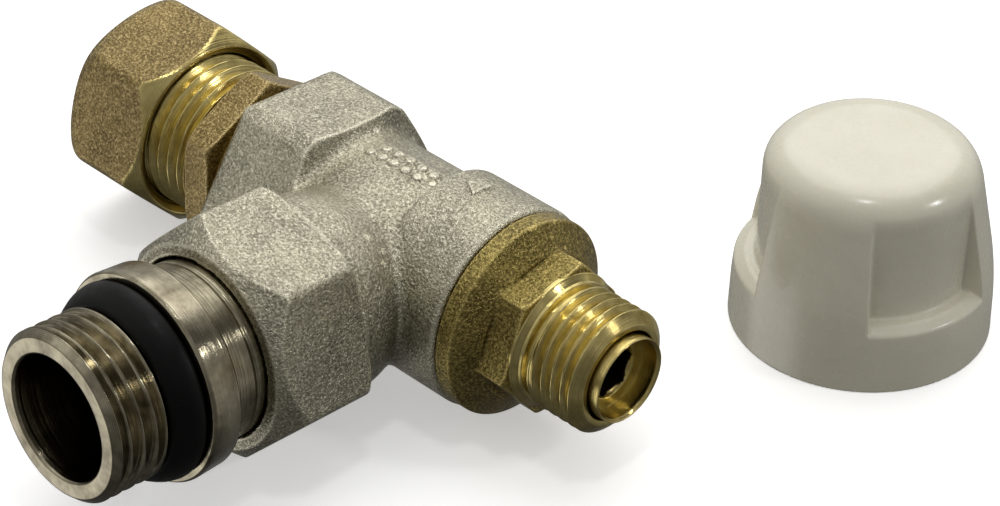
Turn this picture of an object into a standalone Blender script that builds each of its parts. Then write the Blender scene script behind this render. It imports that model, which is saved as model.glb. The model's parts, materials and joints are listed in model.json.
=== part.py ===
"""Angle-pattern lockshield radiator valve, 15 mm compression inlet and 1/2 inch tail, with its screw-on
cap standing beside it. Every length below is in millimetres; the objects come out in metres.

The valve is modelled about two crossing axes: +X runs out through the bonnet and spindle, -Y out through
the union tail. The empty valve_frame then lays it on the floor, leaning on the compression nut, the
bonnet flange and the union nut.
"""

import math

import bmesh
import bpy
from mathutils import Matrix, Vector

MM = 0.001

# ---- how the valve lies, and where the cap stands --------------------------------------------------
VALVE_AT = (-1.341, -2.629, 13.450)  # where the two axes cross
ROLL = 4.0  # degrees, tail end up
PITCH = 0.6  # degrees, spindle end down
CAP_AT = (35.159, 40.671)

# ---- valve body --------------------------------------------------------------------------------------
PORT_AF = 26.2
PORT_X0, PORT_X1, PORT_TRIM_R = -21.9, -10.0, 14.5
PORT_BORE_R, PORT_BORE_END = 9.0, -9.5
BARREL_R = 11.4
COLLAR_R, COLLAR_X0, BODY_END = 13.3, 7.2, 17.5
SEAT_BORE_R, SEAT_X, SEAT_LIP = 5.2, -3.5, 0.6
CHAMBER_R = 8.6
BRANCH_R, BRANCH_SHOULDER = 12.6, 18.9
BRANCH_THREAD_R, BRANCH_END, BRANCH_BORE_R = 11.85, 26.0, 7.6

# ---- compression end ---------------------------------------------------------------------------------
ADAPTER_AF, ADAPTER_TURN = 21.0, 151.0
ADAPTER_HEX = (-29.1, -24.8)
ADAPTER_END, ADAPTER_THREAD_R = -40.8, 10.25
ADAPTER_SHOULDER = -23.4
PIPE_R = 7.6  # socket for 15 mm tube
COMP_AF, COMP_TURN = 24.0, 137.0
COMP_X0, COMP_X1 = -50.1, -35.9
COMP_BORE_R = 10.6

# ---- union and tail ----------------------------------------------------------------------------------
UNION_AF, UNION_TURN, UNION_TRIM_R = 27.0, 45.5, 15.4
UNION_S0, UNION_S1, UNION_LIP = 19.4, 32.9, 30.3
UNION_BORE_R, UNION_HOLE_R = 12.2, 11.28
TAIL_SEAT, TAIL_END = 27.6, 53.9
TAIL_BORE_R, TAIL_NECK_R, TAIL_COLLAR_R = 7.66, 10.95, 12.8
TAIL_THREAD_R = 10.4
TAIL_COLLAR = (37.4, 42.0)
TAIL_THREAD_S = 46.2

# ---- bonnet and spindle ------------------------------------------------------------------------------
FLANGE_R, FLANGE, FLANGE_RIM_END = 12.7, (17.7, 21.5), 20.0
BONNET_AF, BONNET_TURN, BONNET_HEX_END = 17.2, 133.5, 25.8
BONNET_THREAD_R, BONNET_END = 7.85, 35.3
BONNET_STUB_R, BONNET_STUB_X = 8.25, 8.0
BONNET_LOW_BORE_R, BONNET_BORE_R, BONNET_STEP = 6.85, 5.75, 19.0
SPINDLE_R, SPINDLE_END, SPINDLE_CUP_R = 5.42, 36.7, 4.95
SPINDLE_CUP_FLOOR, KEY_AF, KEY_FLOOR = 34.0, 6.0, 28.3
PLUG_R = 6.8

# ---- cap -----------------------------------------------------------------------------------------------
CAP_H, CAP_BASE_R, CAP_TOP_R, CAP_EDGE_R = 25.4, 16.4, 13.6, 4.3
CAP_SKIRT_H, CAP_SKIRT_R = 8.7, 16.2
CAP_LEDGE_H, CAP_GRIP_R = 9.0, 13.2
CAP_GRIPS, CAP_GRIP_SPAN, CAP_GRIP_FIRST = 3, 60.0, -51.0

for old in list(bpy.data.objects):
    bpy.data.objects.remove(old)


def material(name, colour, metallic, roughness):
    made = bpy.data.materials.new(name)
    made.use_nodes = True
    shader = made.node_tree.nodes["Principled BSDF"]
    shader.inputs["Base Color"].default_value = (*colour, 1.0)
    shader.inputs["Metallic"].default_value = metallic
    shader.inputs["Roughness"].default_value = roughness
    made.diffuse_color = (*colour, 1.0)
    return made


NICKEL = ((0.55, 0.53, 0.48), 1.0, 0.35)
BRASS = ((0.62, 0.45, 0.18), 1.0, 0.35)
STEEL = ((0.45, 0.45, 0.46), 1.0, 0.3)
RUBBER = ((0.015, 0.015, 0.016), 0.0, 0.5)
PTFE = ((0.85, 0.85, 0.82), 0.0, 0.5)
ABS = ((0.83, 0.81, 0.72), 0.0, 0.3)

ALONG_X = Matrix(((0, 0, 1), (1, 0, 0), (0, 1, 0))).to_4x4()  # local Z -> +X, local X -> +Y
ALONG_TAIL = Matrix(((1, 0, 0), (0, 0, -1), (0, 1, 0))).to_4x4()  # local Z -> -Y, local X -> +X
UPRIGHT = Matrix.Identity(4)


def object_of(name, bm):
    """Object holding the bmesh, normals out, smooth except over sharp edges."""
    bmesh.ops.recalc_face_normals(bm, faces=bm.faces)
    mesh = bpy.data.meshes.new(name)
    bm.to_mesh(mesh)
    bm.free()
    made = bpy.data.objects.new(name, mesh)
    bpy.context.scene.collection.objects.link(made)
    return made


def revolve(name, profile, along, sides=40, turn=0.0):
    """Solid of the closed (distance, radius) profile turned about the axis."""
    bm = bmesh.new()
    rings = []
    for s, r in profile:
        if r < 1e-6:
            rings.append([bm.verts.new((0, 0, s * MM))])
            continue
        ring = []
        for i in range(sides):
            a = math.tau * i / sides + math.radians(turn)
            ring.append(bm.verts.new((r * MM * math.cos(a), r * MM * math.sin(a), s * MM)))
        rings.append(ring)
    for k, ring in enumerate(rings):
        after = rings[(k + 1) % len(rings)]
        for i in range(sides):
            j = (i + 1) % sides
            corners = [ring[i % len(ring)], ring[j % len(ring)], after[j % len(after)], after[i % len(after)]]
            corners = list(dict.fromkeys(corners))
            if len(corners) > 2:
                bm.faces.new(corners)
    bm.transform(along)
    return object_of(name, bm)


def prism(name, across, sides, s0, s1, along, corner_at):
    """Regular prism with one corner at the given angle."""
    r = across / 2 / math.cos(math.pi / sides)
    return revolve(name, [(s0, 0), (s0, r), (s1, r), (s1, 0)], along, sides, corner_at)


def combine(target, tool, operation):
    """The target's mesh after a Boolean with the tool, which is then removed."""
    modifier = target.modifiers.new("combine", "BOOLEAN")
    modifier.operation = operation
    modifier.solver = "EXACT"
    modifier.object = tool
    bpy.context.view_layer.update()
    graph = bpy.context.evaluated_depsgraph_get()
    mesh = bpy.data.meshes.new_from_object(target.evaluated_get(graph))
    target.modifiers.clear()
    target.data = mesh
    mesh.name = target.name
    bpy.data.objects.remove(tool)
    return target


def cut(target, tool):
    return combine(target, tool, "DIFFERENCE")


def join(target, tool):
    return combine(target, tool, "UNION")


def chamfered_hex(name, across, s0, s1, along, corner_at, edge, face_r, both=True, back=None, trim_r=99.0):
    """Hex prism whose corners are turned off at its ends, as on a forged or machined nut. The back is its own
    (edge, face radius) where it differs, and trim_r rounds the six corners."""
    made = prism(name, across, 6, s0, s1, along, corner_at)
    big = across
    corner_r = min(trim_r, across / 2 / math.cos(math.pi / 6) + 0.02)
    back_edge, back_r = back or (edge, face_r)
    near = [(s0, 0), (s0, back_r), (s0 + back_edge, corner_r)]
    if not both:
        near = [(s0 - 1, 0), (s0 - 1, big)]
    far = [(s1 - edge, corner_r), (s1, face_r), (s1, 0)]
    return combine(made, revolve("turned", near + far, along, 48, 3.0), "INTERSECT")


def ring(name, s0, s1, r0, r1, along, sides=32, ease=0.0):
    """Plain or edge-eased ring between two radii."""
    if ease:
        profile = [(s0 + ease, r0), (s0, r0 + ease), (s0, r1 - ease), (s0 + ease, r1)]
        profile += [(s1 - ease, r1), (s1, r1 - ease), (s1, r0 + ease), (s1 - ease, r0)]
    else:
        profile = [(s0, r0), (s0, r1), (s1, r1), (s1, r0)]
    return revolve(name, profile, along, sides)


def oring(name, s, centre_r, cord_r, along, sides=28, around=6):
    steps = [math.tau * (i + 0.5) / around for i in range(around)]
    profile = [(s + cord_r * math.cos(a), centre_r + cord_r * math.sin(a)) for a in steps]
    return revolve(name, profile, along, sides)


def finish(obj, look, parent, smooth=35):
    obj.data.materials.clear()
    obj.data.materials.append(material(obj.name, *look))
    for polygon in obj.data.polygons:
        polygon.use_smooth = True
    obj.data.set_sharp_from_angle(angle=math.radians(smooth))
    obj.parent = parent
    return obj


valve_frame = bpy.data.objects.new("valve_frame", None)
valve_frame.location = Vector(VALVE_AT) * MM
valve_frame.rotation_euler = (-math.radians(ROLL), math.radians(PITCH), 0)
bpy.context.scene.collection.objects.link(valve_frame)

# ---- valve body: hexagon port, barrel, bonnet collar and threaded branch, one forging ---------------
body = revolve(
    "valve_body",
    [(-15, 0), (-15, 10.5), (PORT_X1 + 0.3, BARREL_R + 1.2), (-6, BARREL_R), (5.2, BARREL_R), (COLLAR_X0, COLLAR_R),
     (BODY_END - 0.7, COLLAR_R), (BODY_END, COLLAR_R - 0.6), (BODY_END, 0)],
    ALONG_X, 48,
)
port = chamfered_hex("port", PORT_AF, PORT_X0, PORT_X1, ALONG_X, 0.0, 1.0, PORT_AF / 2 + 0.3)
trim = [(PORT_X0 - 1, 0), (PORT_X0 - 1, PORT_TRIM_R), (PORT_X1 + 1, PORT_TRIM_R), (PORT_X1 + 1, 0)]
trim = revolve("trim", trim, ALONG_X, 48)
port = combine(port, trim, "INTERSECT")
join(body, port)
branch = [(0, 0), (0, BRANCH_R - 1.4), (12, BRANCH_R - 1.4), (14.5, BRANCH_R), (BRANCH_SHOULDER, BRANCH_R),
          (BRANCH_SHOULDER, BRANCH_THREAD_R), (BRANCH_END - 0.8, BRANCH_THREAD_R),
          (BRANCH_END, BRANCH_THREAD_R - 0.8), (BRANCH_END, 0)]
join(body, revolve("branch", branch, ALONG_TAIL, 48))
hollow = [(PORT_X0 - 1, 0), (PORT_X0 - 1, PORT_BORE_R), (PORT_BORE_END, PORT_BORE_R),
          (PORT_BORE_END, SEAT_BORE_R), (SEAT_X, SEAT_BORE_R), (SEAT_X, SEAT_BORE_R + 1.6),
          (SEAT_X - SEAT_LIP, SEAT_BORE_R + 1.9), (SEAT_X - SEAT_LIP, CHAMBER_R),
          (BODY_END + 1, CHAMBER_R), (BODY_END + 1, 0)]
cut(body, revolve("hollow", hollow, ALONG_X, 40))
outlet = [(7.0, 0), (7.0, BRANCH_BORE_R), (BRANCH_END + 1, BRANCH_BORE_R), (BRANCH_END + 1, 0)]
outlet = revolve("outlet", outlet, ALONG_TAIL, 32, 2.0)
cut(body, outlet)
finish(body, NICKEL, valve_frame)

# ---- compression end: adapter screwed into the port, seal, nut and olive ------------------------------
adapter = revolve(
    "compression_adapter",
    [(ADAPTER_END, 9.25), (ADAPTER_END, ADAPTER_THREAD_R - 0.8), (ADAPTER_END + 0.8, ADAPTER_THREAD_R),
     (ADAPTER_HEX[0] + 0.5, ADAPTER_THREAD_R), (ADAPTER_HEX[0] + 0.5, 9.9), (ADAPTER_SHOULDER, 9.9),
     (ADAPTER_SHOULDER, 8.7), (-12.0, 8.7), (-12.0, 6.3), (-25.0, 6.3), (-25.0, PIPE_R), (-39.1, PIPE_R)],
    ALONG_X, 40,
)
flats = chamfered_hex("flats", ADAPTER_AF, *ADAPTER_HEX, ALONG_X, ADAPTER_TURN, 0.9, ADAPTER_AF / 2)
passage = revolve("passage", [(-45, 0), (-45, 9.1), (-20, 9.1), (-20, 0)], ALONG_X, 40)
join(adapter, cut(flats, passage))
finish(adapter, BRASS, valve_frame)

seal = ring("adapter_seal", ADAPTER_SHOULDER + 0.3, ADAPTER_SHOULDER + 1.2, 8.95, 10.0, ALONG_X)
finish(seal, RUBBER, valve_frame)

comp_nut = chamfered_hex("compression_nut", COMP_AF, COMP_X0, COMP_X1, ALONG_X, COMP_TURN, 1.6, COMP_AF / 2 - 0.5)
inside = [(COMP_X0 - 1, 0), (COMP_X0 - 1, 7.75), (-47.8, 7.75), (-45.2, 9.6), (-45.2, COMP_BORE_R),
          (COMP_X1 - 0.7, COMP_BORE_R), (COMP_X1 + 0.2, COMP_BORE_R + 0.9), (COMP_X1 + 0.2, 0)]
cut(comp_nut, revolve("inside", inside, ALONG_X, 40))
finish(comp_nut, BRASS, valve_frame)

olive = revolve(
    "compression_olive",
    [(-47.1, 7.75), (-47.1, 7.9), (-45.3, 9.0), (-44.4, 9.0), (-42.4, 8.0), (-42.4, 7.75)], ALONG_X, 32,
)
finish(olive, BRASS, valve_frame)

# ---- union nut, tail and their rings --------------------------------------------------------------------
union_nut = chamfered_hex("union_nut", UNION_AF, UNION_S0, UNION_S1, ALONG_TAIL, UNION_TURN, 2.6, UNION_AF / 2 - 0.9,
                          back=(1.4, UNION_AF / 2 + 0.2), trim_r=UNION_TRIM_R)
inside = [(UNION_S0 - 0.2, 0), (UNION_S0 - 0.2, UNION_BORE_R + 0.5), (UNION_S0 + 0.5, UNION_BORE_R),
          (UNION_LIP, UNION_BORE_R), (UNION_LIP, UNION_HOLE_R), (UNION_S1 + 1, UNION_HOLE_R), (UNION_S1 + 1, 0)]
cut(union_nut, revolve("inside", inside, ALONG_TAIL, 40))
finish(union_nut, NICKEL, valve_frame)

tail = revolve(
    "radiator_tail",
    [(TAIL_SEAT, TAIL_BORE_R), (TAIL_SEAT, TAIL_NECK_R), (28.2, TAIL_NECK_R), (28.2, 10.1), (29.8, 10.1),
     (29.8, TAIL_NECK_R), (TAIL_COLLAR[0], TAIL_NECK_R), (TAIL_COLLAR[0] + 0.5, TAIL_COLLAR_R),
     (TAIL_COLLAR[1], TAIL_COLLAR_R), (TAIL_COLLAR[1], 9.7), (TAIL_THREAD_S, 9.7),
     (TAIL_THREAD_S + 0.6, TAIL_THREAD_R), (TAIL_END - 0.9, TAIL_THREAD_R), (TAIL_END, 9.66),
     (TAIL_END, TAIL_BORE_R + 0.1), (TAIL_END - 0.3, TAIL_BORE_R)],
    ALONG_TAIL, 40,
)
finish(tail, NICKEL, valve_frame)

rubber = [(42.3, 10.0), (42.3, 11.7), (42.8, 12.1), (43.8, 11.9), (45.2, 11.2), (45.9, 10.5), (45.9, 10.0)]
finish(revolve("tail_oring", rubber, ALONG_TAIL, 40), RUBBER, valve_frame)

snap = ring("nut_retaining_ring", 28.45, 29.55, 10.4, 11.8, ALONG_TAIL, 32)
gap = bmesh.new()
place = Matrix.Translation((0, -29 * MM, 11 * MM)) @ Matrix.Diagonal((3 * MM, 4 * MM, 4 * MM, 1))
bmesh.ops.create_cube(gap, size=1.0, matrix=place)
cut(snap, object_of("gap", gap))
finish(snap, STEEL, valve_frame)
finish(oring("tail_seat_oring", 26.8, 9.5, 0.5, ALONG_TAIL, 28, 6), RUBBER, valve_frame)

# ---- bonnet: flange, hexagon and cap thread, with the spindle inside it ------------------------------
bonnet = revolve(
    "bonnet",
    [(BONNET_STUB_X, BONNET_LOW_BORE_R), (BONNET_STUB_X, BONNET_STUB_R - 0.5), (BONNET_STUB_X + 0.5, BONNET_STUB_R),
     (15.0, BONNET_STUB_R), (15.0, 7.4), (17.0, 7.4), (17.0, BONNET_STUB_R), (FLANGE[0], BONNET_STUB_R),
     (FLANGE[0], FLANGE_R), (FLANGE_RIM_END, FLANGE_R), (FLANGE[1], FLANGE_R - 1.6), (FLANGE[1], 8.3),
     (BONNET_HEX_END, 8.3), (27.0, 6.8), (27.5, 6.8), (28.1, BONNET_THREAD_R), (BONNET_END - 1.0, BONNET_THREAD_R),
     (BONNET_END, BONNET_THREAD_R - 1.1), (BONNET_END, BONNET_BORE_R), (BONNET_STEP, BONNET_BORE_R),
     (BONNET_STEP, BONNET_LOW_BORE_R)],
    ALONG_X, 40,
)
flats = chamfered_hex("flats", BONNET_AF, FLANGE[1] - 0.5, BONNET_HEX_END, ALONG_X, BONNET_TURN, 0.4,
                      BONNET_AF / 2 + 0.9, both=False)
passage = revolve("passage", [(16, 0), (16, 7.6), (29, 7.6), (29, 0)], ALONG_X, 40)
join(bonnet, cut(flats, passage))
finish(bonnet, BRASS, valve_frame)
finish(oring("bonnet_oring", 16.0, 7.98, 0.5, ALONG_X, 28, 6), RUBBER, valve_frame)

spindle = revolve(
    "spindle",
    [(7.4, 0), (7.4, 3.0), (10.9, 3.0), (10.9, 6.1), (11.4, 6.5), (18.1, 6.5), (18.1, SPINDLE_R),
     (20.7, SPINDLE_R), (20.7, 4.3), (22.3, 4.3), (22.3, SPINDLE_R), (23.1, SPINDLE_R), (23.1, 4.6),
     (24.7, 4.6), (24.7, SPINDLE_R), (25.5, SPINDLE_R), (25.5, 4.3), (27.1, 4.3), (27.1, SPINDLE_R),
     (SPINDLE_END, SPINDLE_R), (SPINDLE_END, SPINDLE_CUP_R), (SPINDLE_CUP_FLOOR, SPINDLE_CUP_R),
     (SPINDLE_CUP_FLOOR, 0)],
    ALONG_X, 32,
)
cut(spindle, prism("key", KEY_AF, 6, KEY_FLOOR, SPINDLE_CUP_FLOOR + 1, ALONG_X, 12.0))
finish(spindle, BRASS, valve_frame)
finish(ring("spindle_oring_lower", 21.0, 22.0, 4.5, 5.6, ALONG_X, 28, 0.3), RUBBER, valve_frame)
finish(ring("spindle_friction_ring", 23.35, 24.45, 4.8, 5.6, ALONG_X, 28), PTFE, valve_frame)
finish(ring("spindle_oring_upper", 25.8, 26.8, 4.5, 5.6, ALONG_X, 28, 0.3), RUBBER, valve_frame)

plug = revolve("valve_plug", [(3.7, 0), (3.7, PLUG_R), (5.6, PLUG_R), (6.2, 4.8), (10.5, 4.8), (10.5, 0)], ALONG_X, 28)
cut(plug, revolve("socket", [(7.1, 0), (7.1, 3.3), (11, 3.3), (11, 0)], ALONG_X, 24))
cut(plug, revolve("hole", [(3, 0), (3, 2.0), (5.8, 2.0), (5.8, 0)], ALONG_X, 16))
finish(plug, BRASS, valve_frame)
finish(ring("plug_washer", 1.4, 3.4, 2.4, 6.5, ALONG_X, 32), RUBBER, valve_frame)
screw = revolve("plug_screw", [(0.2, 0), (0.2, 2.6), (0.5, 3.2), (1.1, 3.2), (1.1, 1.7), (5.4, 1.7), (5.4, 0)], ALONG_X, 16)
finish(screw, STEEL, valve_frame)

# ---- cap: skirt, three finger grips, rounded top and the threaded sleeve inside ----------------------
cap_outer = [(0, 0), (0, CAP_BASE_R), (CAP_SKIRT_H, CAP_SKIRT_R)]
top_c = (CAP_H - CAP_EDGE_R, CAP_TOP_R - CAP_EDGE_R)
for k in range(6):
    a = math.radians(90 - k * 18)
    cap_outer.append((top_c[0] + CAP_EDGE_R * math.cos(a), top_c[1] + CAP_EDGE_R * math.sin(a)))
cap_outer.append((CAP_H, 0))
cap = revolve("lockshield_cap", cap_outer, UPRIGHT, 48)
for k in range(CAP_GRIPS):
    start = math.radians(CAP_GRIP_FIRST + k * 360 / CAP_GRIPS)
    wedge = bmesh.new()
    low, high = [], []
    for r, order in ((CAP_GRIP_R, 1), (22.0, -1)):
        steps = [start + math.radians(CAP_GRIP_SPAN) * i / 8 for i in range(9)][::order]
        for a in steps:
            low.append(wedge.verts.new((r * MM * math.cos(a), r * MM * math.sin(a), CAP_LEDGE_H * MM)))
            high.append(wedge.verts.new((r * MM * math.cos(a), r * MM * math.sin(a), (CAP_H + 2) * MM)))
    wedge.faces.new(low)
    wedge.faces.new(high)
    for i in range(len(low)):
        j = (i + 1) % len(low)
        wedge.faces.new((low[i], low[j], high[j], high[i]))
    cut(cap, object_of("grip", wedge))
cavity = revolve(
    "cavity",
    [(-1, 0), (-1, 14.6), (CAP_LEDGE_H - 2.0, 14.3), (CAP_LEDGE_H - 2.0, 11.4), (CAP_H - 2.4, 10.8), (CAP_H - 2.4, 9.5),
     (6.0, 9.5), (6.0, 8.4), (6.3, 8.1), (CAP_H - 2.4, 8.1), (CAP_H - 2.4, 0)],
    UPRIGHT, 48, 2.0,
)
cut(cap, cavity)
finish(cap, ABS, None)
cap.location = (CAP_AT[0] * MM, CAP_AT[1] * MM, 0)
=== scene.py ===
"""Looks of the lockshield radiator valve and its cap.

Lengths are millimetres. Shapes are made about the valve's own axes and then laid where the CAD frame has
them: local Z runs out along the spindle, out along the tail, or up through the cap.
"""

import json
import math

import bmesh
import bpy
import numpy as np
from mathutils import Matrix, Vector


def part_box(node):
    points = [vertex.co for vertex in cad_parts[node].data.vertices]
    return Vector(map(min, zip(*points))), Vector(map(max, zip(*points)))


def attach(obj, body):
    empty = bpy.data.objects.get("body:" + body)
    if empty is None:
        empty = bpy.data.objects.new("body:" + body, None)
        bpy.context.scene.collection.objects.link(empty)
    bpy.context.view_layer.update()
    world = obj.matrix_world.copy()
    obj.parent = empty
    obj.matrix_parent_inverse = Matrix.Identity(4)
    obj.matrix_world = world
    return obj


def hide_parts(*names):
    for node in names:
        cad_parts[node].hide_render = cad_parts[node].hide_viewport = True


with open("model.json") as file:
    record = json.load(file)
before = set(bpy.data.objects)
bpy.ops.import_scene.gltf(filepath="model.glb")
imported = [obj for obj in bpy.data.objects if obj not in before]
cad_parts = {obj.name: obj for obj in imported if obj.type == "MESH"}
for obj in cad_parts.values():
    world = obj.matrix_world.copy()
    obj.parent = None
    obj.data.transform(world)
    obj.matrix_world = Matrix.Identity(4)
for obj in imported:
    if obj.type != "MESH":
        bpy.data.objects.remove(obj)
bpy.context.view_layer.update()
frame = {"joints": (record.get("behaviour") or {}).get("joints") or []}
MM = 0.001
SAME_POINT_M = 1e-7

# ---- where the axes are, read from the CAD's joints and boxes ------------------------------------
joints = {joint["name"]: joint for joint in frame["joints"]}
CROSSING = Vector(joints["spindle_turn"]["pos_m"])
OUT = Vector(joints["spindle_turn"]["axis"]).normalized()
TAILWARD = Vector(joints["union_nut_turn"]["axis"]).normalized()
UP = TAILWARD.cross(OUT)
cap_low, cap_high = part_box("lockshield_cap")
CAP_FOOT = Vector(((cap_low.x + cap_high.x) / 2, (cap_low.y + cap_high.y) / 2, cap_low.z))


def frame_of(x, y, z, origin):
    """Matrix from local millimetres to the row frame."""
    return Matrix.Translation(origin) @ Matrix((x, y, z)).transposed().to_4x4() @ Matrix.Scale(MM, 4)


VALVE = frame_of(OUT, -TAILWARD, UP, CROSSING)
ALONG_MAIN = frame_of(-TAILWARD, UP, OUT, CROSSING)
ALONG_TAIL = frame_of(OUT, UP, TAILWARD, CROSSING)
ALONG_CAP = frame_of(Vector((1, 0, 0)), Vector((0, 1, 0)), Vector((0, 0, 1)), CAP_FOOT)

# ---- sizes ---------------------------------------------------------------------------------------
PORT_AF, PORT_END, PORT_FRONT, PORT_TRIM_R = 26.2, -21.9, -9.2, 14.5
BARREL_R, COLLAR_R, BODY_END = 11.5, 13.0, 17.5
BRANCH_R, BRANCH_SHOULDER, BRANCH_THREAD_R, BRANCH_END = 12.6, 18.9, 11.85, 26.0
UNION_AF, UNION_TURN, UNION_S0, UNION_S1, UNION_TRIM_R = 27.0, 45.5, 19.4, 32.8, 15.42
COMP_AF, COMP_TURN, COMP_S0, COMP_S1 = 24.0, 137.0, -50.1, -35.9
ADAPTER_AF, ADAPTER_TURN, ADAPTER_S0, ADAPTER_S1 = 21.0, 151.0, -29.1, -24.8
BONNET_AF, BONNET_TURN, BONNET_HEX_END, BONNET_END = 17.2, 133.5, 25.8, 35.3
BONNET_THREAD_R = 7.87
FLANGE_R, FLANGE_S0, FLANGE_RIM_END = 12.7, 17.7, 20.0
CUP_FLOOR = 34.0
PIPE_PITCH, BONNET_PITCH = 1.814, 1.5
CAP_H, CAP_BASE_R, CAP_TOP_R, CAP_EDGE, CAP_LEDGE = 25.4, 16.4, 13.6, 4.2, 9.0
CAP_SKIRT_H, CAP_SKIRT_R = 8.7, 16.2
CAP_GRIP_MIDDLE, CAP_GRIP_HALF, CAP_GRIP_R = -19.5, 31.1, 13.4


# ---- mesh tools ----------------------------------------------------------------------------------
def smooth_min(a, b, k):
    h = np.maximum(k - np.abs(a - b), 0.0) / k
    return np.minimum(a, b) - h * h * k / 4


def smooth_max(a, b, k):
    return -smooth_min(-a, -b, k)


def ramp(low, high, value):
    t = np.clip((value - low) / (high - low), 0.0, 1.0)
    return t * t * (3 - 2 * t)


def hexagon(a, b, across, corner_at, round_k):
    """Distance outside a hexagon with one corner at the given angle."""
    found = None
    for k in range(6):
        angle = math.radians(corner_at + 30 + 60 * k)
        side = a * math.cos(angle) + b * math.sin(angle) - across / 2
        found = side if found is None else smooth_max(found, side, round_k)
    return found


def corner_radius(across):
    return across / 2 / math.cos(math.pi / 6)


def bar(a, b, s, across, corner_at, start, end, corner_round, end_round):
    """Hexagonal bar between two distances along local Z."""
    flats = hexagon(a, b, across, corner_at, corner_round)
    return smooth_max(flats, np.maximum(start - s, s - end), end_round)


def cone(side, slope, along):
    """Distance outside a cone that closes in by slope along its axis; side is the distance at along 0."""
    return (side + slope * along) / math.hypot(1, slope)


def mesh_object(name, points, quads, to_row, normals=None):
    """Object with quads in the row frame, smooth shaded."""
    matrix = np.array(to_row)
    points = points @ matrix[:3, :3].T + matrix[:3, 3]
    mesh = bpy.data.meshes.new(name)
    mesh.vertices.add(len(points))
    mesh.vertices.foreach_set("co", points.astype(np.float32).ravel())
    mesh.loops.add(len(quads) * 4)
    mesh.loops.foreach_set("vertex_index", quads.astype(np.int32).ravel())
    mesh.polygons.add(len(quads))
    mesh.polygons.foreach_set("loop_start", np.arange(0, len(quads) * 4, 4, dtype=np.int32))
    mesh.polygons.foreach_set("use_smooth", np.ones(len(quads), dtype=bool))
    mesh.update(calc_edges=True)
    mesh.validate()
    if normals is not None:
        turned = normals @ (matrix[:3, :3] / MM).T
        mesh.normals_split_custom_set_from_vertices(turned.astype(np.float32))
    made = bpy.data.objects.new(name, mesh)
    bpy.context.scene.collection.objects.link(made)
    return made


def skin(name, field, low, high, step, to_row, keep=None):
    """Mesh of the surface where field(x, y, z) is zero, with normals from the field.

    With keep(x, y, z), it has only the faces whose centre keep accepts. Each grid cell that the surface
    crosses gets one point, which is then drawn on to the surface.
    """
    axes = [np.arange(a, b + step, step) for a, b in zip(low, high)]
    value = field(axes[0][:, None, None], axes[1][None, :, None], axes[2][None, None, :])
    cells = np.array(value.shape) - 1
    total, count = np.zeros((*cells, 3), np.float32), np.zeros(cells, np.float32)
    crossings = []
    for axis in range(3):
        u, v = (axis + 1) % 3, (axis + 2) % 3
        first = np.take(value, range(cells[axis]), axis)
        second = np.take(value, range(1, cells[axis] + 1), axis)
        crossing = (first < 0) != (second < 0)
        share = np.where(crossing, first / np.where(crossing, first - second, 1), 0)
        crossings.append((crossing, first < 0))
        for du in (0, 1):
            for dv in (0, 1):
                part = [slice(None)] * 3
                part[u], part[v] = slice(du, du + cells[u]), slice(dv, dv + cells[v])
                hit = crossing[tuple(part)]
                count += hit
                total[..., axis] += share[tuple(part)]
                total[..., u] += du * hit
                total[..., v] += dv * hit
    used = count > 0
    index = np.full(cells, -1, np.int64)
    index[used] = np.arange(used.sum())
    points = (np.argwhere(used) + total[used] / count[used][:, None]) * step + np.array(low)
    quads = []
    for axis, (crossing, inward) in enumerate(crossings):
        u, v = (axis + 1) % 3, (axis + 2) % 3
        where = np.argwhere(crossing)
        inside = (where[:, u] > 0) & (where[:, v] > 0) & (where[:, u] < cells[u]) & (where[:, v] < cells[v])
        where = where[inside]
        corners = []
        for du, dv in ((1, 1), (0, 1), (0, 0), (1, 0)):
            cell = where.copy()
            cell[:, u] -= du
            cell[:, v] -= dv
            corners.append(index[tuple(cell.T)])
        quad = np.stack(corners, 1)
        flip = ~inward[tuple(where.T)]
        quad[flip] = quad[flip][:, ::-1]
        quads.append(quad)

    def gradient(p, h):
        g = [field(*(p + h * np.eye(3)[k]).T) - field(*(p - h * np.eye(3)[k]).T) for k in range(3)]
        return np.stack(g, 1) / (2 * h)

    for _ in range(2):
        g = gradient(points, step / 4)
        move = field(*points.T)[:, None] * g / np.maximum((g * g).sum(1), 0.25)[:, None]
        points = points - np.clip(move, -step / 3, step / 3)
    quads = np.concatenate(quads)
    if keep is not None:
        quads = quads[keep(*points[quads].mean(1).T)]
        kept, again = np.unique(quads, return_inverse=True)
        points, quads = points[kept], again.reshape(-1, 4)
    g = gradient(points, step / 3)
    return mesh_object(name, points, quads, to_row, g / np.linalg.norm(g, axis=1)[:, None])


def eased(profile, ease):
    """The closed profile with each corner cut to a short arc."""
    made = []
    n = len(profile)
    for i, point in enumerate(profile):
        p = np.array(point, float)
        before, after = np.array(profile[i - 1], float) - p, np.array(profile[(i + 1) % n], float) - p
        la, lb = np.linalg.norm(before), np.linalg.norm(after)
        if p[1] < 1e-6:
            made.append(p)
            continue
        cut = min(ease, la * 0.4, lb * 0.4)
        a, b = p + before / la * cut, p + after / lb * cut
        made += [a, 0.25 * a + 0.25 * b + 0.5 * p, b]
    return made


ON_CREST, ROWS_PER_TURN, THREAD_RUN_OUT = 0.02, 20, 0.7
CREST_FLAT, ROOT_FLAT = 0.07, 0.09


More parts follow.
